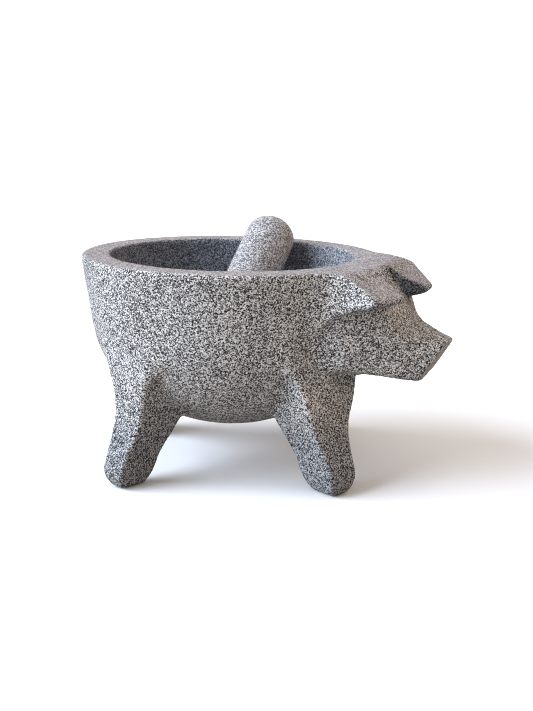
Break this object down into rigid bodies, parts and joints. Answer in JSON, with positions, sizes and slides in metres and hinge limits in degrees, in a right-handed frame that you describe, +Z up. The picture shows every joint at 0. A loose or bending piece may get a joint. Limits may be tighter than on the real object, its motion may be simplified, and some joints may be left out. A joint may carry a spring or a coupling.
{
  "type": "molcajete",
  "caption": "Stone mortar carved as a standing pig, with a deep bowl, drooping ears, a flat snout and flared legs, and a loose tapered stone pestle.",
  "frame": {"origin": "floor point under the bowl's axis", "axes": "+X towards the pig's snout, +Z up, +Y to the pig's left"},
  "size_m": [0.2513, 0.2056, 0.1628],
  "materials": {
    "stone": "matte, pecked basalt with ground rim",
    "stone_loose": "matte, ground basalt"
  },
  "bodies": {
    "mortar": {"mortar": "stone"},
    "tejolote": {"tejolote": "stone_loose"}
  },
  "joints": [
    {"name": "tejolote_lift", "type": "slide", "parent": "mortar", "child": "tejolote", "axis": [0, 0, 1], "range_m": [0, 0.12]}
  ]
}
